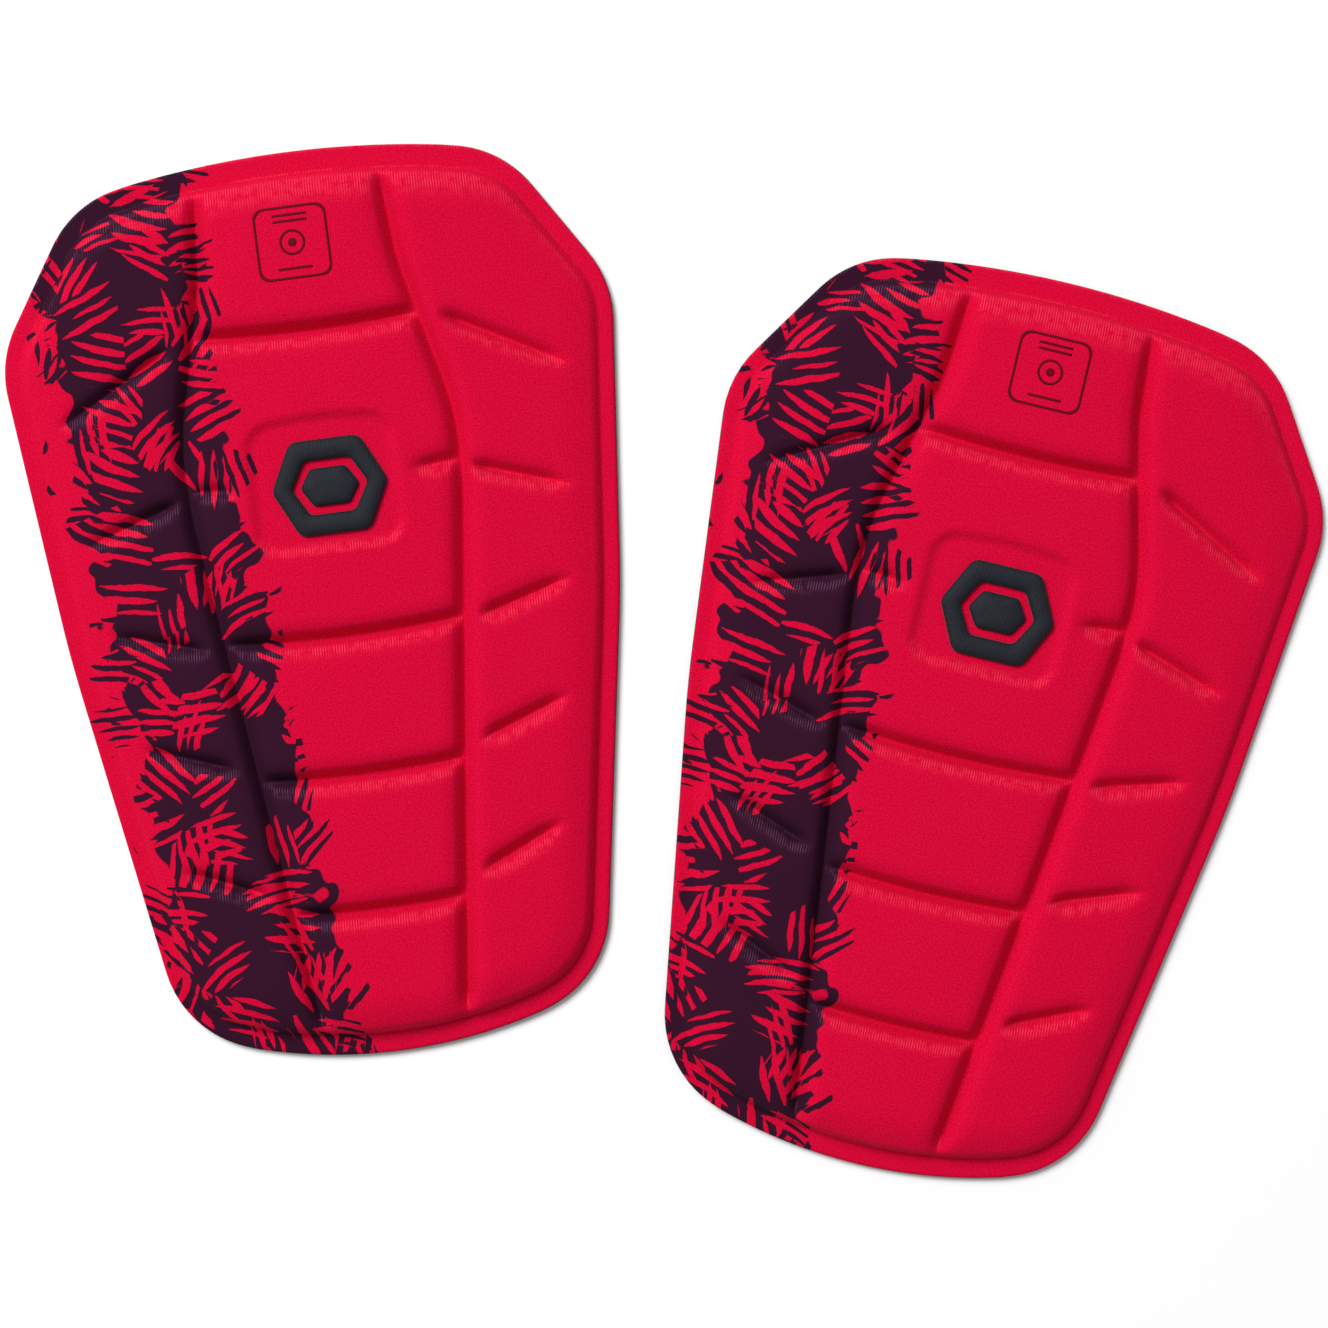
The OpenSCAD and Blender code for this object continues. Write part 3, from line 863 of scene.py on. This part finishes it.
def face_half(guard, side):
    solid, painted_highlight = FACE_SOLID
    obj = half_slab(guard, "face_fabric", solid, GRID_SHAPE, side, FACE)
    # Each point keeps its share of painted highlight, which the face's material reads
    obj.data.attributes.new("painted_highlight", "FLOAT", "POINT").data.foreach_set("value", painted_highlight)
    flat_map(obj.data, "print", mirrored(solid, HALVES[side]), PRINT_SHIFT[guard.name])
    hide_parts(f"{guard.name}_face_{side}_wing", f"{guard.name}_face_center")


def liner_half(guard, side):
    obj = half_slab(guard, "back_liner", LINER_SOLID, LINER_GRID.shape[:2], side, LINER)
    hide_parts(f"{guard.name}_back_{side}_wing", f"{guard.name}_back_center")


# ---- Foam ----

# Half the gap between two foam pieces, and the foam's clearance below, above and at its foot
FOAM_GAP = 1.0
FOAM_BELOW, FOAM_ABOVE, FOAM_FOOT = 0.05, 0.12, 0.5
FOAM_MIN = 0.2
# Points along the foam's foot, and how many of them make up the knee end and the ankle end
FOOT_POINTS, FOOT_ENDS = 160, 60
FOAM_FINE, FOAM_COARSE, PAD_COARSE = 0.6, 1.6, 1.3


def foam_solid(grid):
    """A foam piece under the face fabric, kept clear of it everywhere about each point."""
    points = grid.reshape(-1, 2)
    top = np.pad(height(points, 1).reshape(grid.shape[:2]), 1, mode="edge")
    rows, columns = grid.shape[:2]
    top = np.min([top[i:i + rows, j:j + columns] for i in range(3) for j in range(3)], axis=0).ravel()
    low = np.full(len(points), LINER_T + FOAM_BELOW)
    high = np.maximum(top - FACE_T - FOAM_ABOVE, low + FOAM_MIN)
    return np.concatenate([np.column_stack([points, high]), np.column_stack([points, low])]), grid.shape[:2]


def foam_foot():
    """The foam's foot line, just inside the rim."""
    points = at(OUTLINE, np.linspace(0, 1, FOOT_POINTS))
    _, _, way = nearest(points, OUTLINE)
    out = np.stack([-way[:, 1], way[:, 0]], axis=1)
    end_rim = np.where(out[:, 1] > 0, TOP_RIM, BOTTOM_RIM)
    rim = SIDE_RIM + out[:, 1] ** 2 * (end_rim - SIDE_RIM) + FOAM_FOOT
    foot = points - out * rim[:, None]
    foot[[0, -1], 0] = 0
    return foot


def foam_solids():
    """The right half of every foam piece, by name."""
    foot = foam_foot()
    tip, tail = foot[:FOOT_ENDS], foot[-FOOT_ENDS:]
    inner, outer = GROOVE - [FOAM_GAP, 0], GROOVE + [FOAM_GAP, 0]

    def edge_of(y, shift):
        x = np.linspace(0, PAST_GROOVE, 60)
        line = np.stack([x, y + sag(x) + shift], axis=1)
        return part(line, 0, crossing(line, inner)[0])

    y = [r[0] for r in ROWS]
    spans = {
        "top_cell": (edge_of(y[0], FOAM_GAP), part(tip, 0, crossing(inner, tip)[1])),
        "badge_cell": (edge_of(y[2], FOAM_GAP), edge_of(y[0], -FOAM_GAP)),
        "third_cell": (edge_of(y[3], FOAM_GAP), edge_of(y[2], -FOAM_GAP)),
        "fourth_cell": (edge_of(y[4], FOAM_GAP), edge_of(y[3], -FOAM_GAP)),
        "bottom_cell": (part(tail, 1, crossing(inner, tail)[1]), edge_of(y[4], -FOAM_GAP)),
    }
    solids = {}
    for name, (low, high) in spans.items():
        ends = [nearest(p[-1:], inner)[1][0] for p in (low, high)]
        tall = np.linalg.norm(high[-1] - low[-1])
        grid = coons(low, high, np.array([low[0], high[0]]), part(inner, *ends),
                     graded(26, 0, 4, FOAM_FINE, FOAM_COARSE), graded(tall, 4, 4, FOAM_FINE, FOAM_COARSE))
        solids[name] = foam_solid(grid)
    bottom_share, foot_bottom = crossing(outer, tail)
    top_share, foot_top = crossing(outer, tip)
    total = lengths(foot)[-1]
    a = foot_top * lengths(tip)[-1] / total
    b = 1 - (1 - foot_bottom) * lengths(tail)[-1] / total
    shoulder, ankle = (nearest(np.array([p], float), foot)[1][0] for p in (SHOULDER, ANKLE))
    grid = coons(part(foot, b, ankle), part(foot, a, shoulder), part(outer, bottom_share, top_share, 200),
                 part(foot, ankle, shoulder, 200),
                 graded(38, 4, 6, FOAM_FINE, PAD_COARSE), graded(195, 5, 5, FOAM_FINE, PAD_COARSE))
    solids["side_pad"] = foam_solid(grid)
    return solids


def foams(guard, side):
    for name, (solid, shape) in FOAM_SOLIDS.items():
        node = f"{side}_side_pad" if name == "side_pad" else name
        obj = half_slab(guard, f"{name}_foam", solid, shape, side, FOAM)
        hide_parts(f"{guard.name}_{node}")


FACE_SOLID, LINER_SOLID, FOAM_SOLIDS = face_solid(), liner_solid(), foam_solids()


# ---- Badge and label ----

def blunt_polygon(corners, r, steps=6):
    threes = zip(corners[-1:] + corners[:-1], corners, corners[1:] + corners[:1])
    return np.concatenate([rounded(*three, r, steps) for three in threes])


def hexagon(w, h, r):
    c = [(w / 2, 0), (w * 0.3, h / 2), (-w * 0.3, h / 2), (-w / 2, 0), (-w * 0.3, -h / 2), (w * 0.3, -h / 2)]
    return blunt_polygon(c, r)


def finely(loop, step):
    """The closed loop again, with points about step apart."""
    closed = np.concatenate([loop, loop[:1]])
    count = max(12, round(lengths(closed)[-1] / step))
    return at(closed, np.arange(count) / count)


def on_top(points):
    """The fabric's height under points on either side of the guard's middle."""
    return height(np.column_stack([np.abs(points[:, 0]), points[:, 1]])) + lift_near(points)


def raised(guard, name, outer, inner, profile, centre, material, nodes):
    """A raised figure on the face, from the loop outer to the loop inner or, without one, to its middle.

    The profile gives (share inwards, height).
    """
    count, rings = len(outer), len(profile)
    target = outer * 0 if inner is None else inner
    flat = [outer + (target - outer) * share + centre for share, _ in profile]
    points = np.concatenate([np.column_stack([f, on_top(f) + z]) for f, (_, z) in zip(flat, profile)])
    i = np.arange(rings * count).reshape(rings, count)
    j, up, up_j = np.roll(i, -1, axis=1), np.roll(i, -1, axis=0), np.roll(np.roll(i, -1, axis=1), -1, axis=0)
    faces = np.stack([i, j, up_j, up], axis=-1)
    if inner is None:
        tip = np.array([centre], float)
        points = np.concatenate([points, np.column_stack([tip, on_top(tip) + profile[-1][1]])])
        fan = [(a, b, rings * count) for a, b in zip(i[-1], j[-1])]
        faces = [*faces[:-1].reshape(-1, 4).tolist(), *fan, i[0, ::-1].tolist()]
    else:
        faces = faces.reshape(-1, 4)
    obj = make(guard, name, points, faces, material)
    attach(obj, f"{guard.name}_middle")
    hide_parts(*nodes)
    return obj


def puff(rise_to, steps=12):
    """Cross-section of a puffed figure from its edge up to its middle, evenly rounded."""
    turn = np.linspace(0.02, math.pi / 2, steps)
    return [(0, BADGE_FOOT), *((0.5 - 0.5 * math.cos(a), rise_to * math.sin(a) ** 0.6) for a in turn)]


def badge(guard):
    size = np.array(BADGE_SIZE)
    outer = finely(hexagon(*size, RING_CORNER_R), 0.5)
    inner = outer * ((size - 2 * BADGE_RING) / size)
    half = puff(BADGE_RISE)
    profile = half + [(1 - x, z) for x, z in half[-2::-1]]
    ring = raised(guard, "badge_outer_ring", outer, inner, profile, BADGE_AT, BADGE,
                  [f"{guard.name}_badge_ring"])
    size = size - 2 * (BADGE_RING + BADGE_GAP)
    profile = [(2 * x * CORE_PINCH, z) for x, z in puff(BADGE_RISE)]
    outer = finely(hexagon(*size, CORE_CORNER_R), 0.4)
    core = raised(guard, "badge_inner_core", outer, None, profile, BADGE_AT, BADGE,
                  [f"{guard.name}_badge_core"])


def label(guard):
    half = LABEL_W / 2
    square = [(half, half), (-half, half), (-half, -half), (half, -half)]
    thin = [(0, -0.2), (0, 0.03), (0.2, 0.07), (0.8, 0.07), (1, 0.03), (1, -0.2)]
    solid = [(0, -0.2), (0, 0.03), (0.15, 0.07), (0.7, 0.07)]
    frame_loop = finely(blunt_polygon(square, LABEL_CORNER_R), 0.6)
    shrink = 1 - 2 * LABEL_LINE / LABEL_W
    parts = [("label_frame", frame_loop, frame_loop * shrink, (0, 0), [f"{guard.name}_label"])]
    turn = np.linspace(0, 2 * math.pi, 48, endpoint=False)
    circle = np.stack([np.cos(turn), np.sin(turn)], axis=1)
    parts.append(("label_sign_ring", circle * SIGN_R, circle * (SIGN_R - LABEL_LINE), (0, 0), []))
    parts.append(("label_sign_dot", circle * DOT_R, None, (0, 0), []))
    w, h = BAR_HALF_W, LABEL_LINE / 2
    bar = finely(blunt_polygon([(w, h), (-w, h), (-w, -h), (w, -h)], BAR_CORNER_R, 3), 0.3)
    for k, y in enumerate(BAR_YS):
        parts.append((f"label_bar_{k + 1}", bar, None, (0, y), []))
    for name, outer, inner, shift, nodes in parts:
        profile = solid if inner is None else thin
        raised(guard, name, outer, inner, profile, LABEL_AT + shift, LABEL, nodes)


# ---- Building ----

for guard in map(Guard, GUARDS):
    for side in HALVES:
        liner_half(guard, side)
        foams(guard, side)
        face_half(guard, side)
    badge(guard)
    label(guard)


# ---- Stage, light and camera: metres and watts ----

FLOOR_HALF, FLOOR_Z = 4.0, -0.0002
LENS, SENSOR = 90, 36
CAMERA_Z = 0.7705
CAMERA_DROP = 0.7 * MM
AMBIENT = 0.33


def stage():
    s = Shader("pale_floor", Roughness=0.9, Specular_IOR_Level=0.1)
    cloudy = s.noise(s.node("TexCoord", out=3), 2.0)
    s.link(s.mix(cloudy, (0.97, 0.97, 0.97, 1), (0.99, 0.99, 0.99, 1)), "Base Color")
    mesh = bpy.data.meshes.new("floor")
    w, z = FLOOR_HALF, FLOOR_Z
    mesh.from_pydata([(-w, -w, z), (w, -w, z), (w, w, z), (-w, w, z)], [], [(0, 1, 2, 3)])
    mesh.materials.append(s.material)
    floor = bpy.data.objects.new("floor", mesh)
    bpy.context.scene.collection.objects.link(floor)


def area_light(name, place, power, size, colour=(1, 1, 1)):
    data = bpy.data.lights.new(name, "AREA")
    data.energy, data.size, data.color = power, size, colour
    lamp = bpy.data.objects.new(name, data)
    lamp.location = place
    lamp.rotation_mode = "QUATERNION"
    lamp.rotation_quaternion = (-lamp.location).to_track_quat("-Z", "Y")
    bpy.context.scene.collection.objects.link(lamp)


def sun_light(name, direction, strength, spread):
    data = bpy.data.lights.new(name, "SUN")
    data.energy, data.angle = strength, math.radians(spread)
    lamp = bpy.data.objects.new(name, data)
    lamp.rotation_mode = "QUATERNION"
    lamp.location = direction
    lamp.rotation_quaternion = (-lamp.location).to_track_quat("-Z", "Y")
    bpy.context.scene.collection.objects.link(lamp)


def camera():
    data = bpy.data.cameras.new("camera")
    data.lens, data.sensor_width = LENS, SENSOR
    cam = bpy.data.objects.new("camera", data)
    middle = (cad_low + cad_high) / 2
    cam.location = (middle.x, middle.y - CAMERA_DROP, CAMERA_Z)
    bpy.context.scene.collection.objects.link(cam)
    bpy.context.scene.camera = cam


stage()
world = bpy.data.worlds.new("studio")
world.use_nodes = True
world.node_tree.nodes["Background"].inputs["Color"].default_value = (1, 1, 1, 1)
world.node_tree.nodes["Background"].inputs["Strength"].default_value = AMBIENT
bpy.context.scene.world = world
area_light("key", (-0.95, 0.95, 1.6), 28, 1.2)
sun_light("window", (-0.8, 0.85, 1.45), 1.2, 26)
camera()
bpy.context.scene.view_settings.view_transform = "Standard"
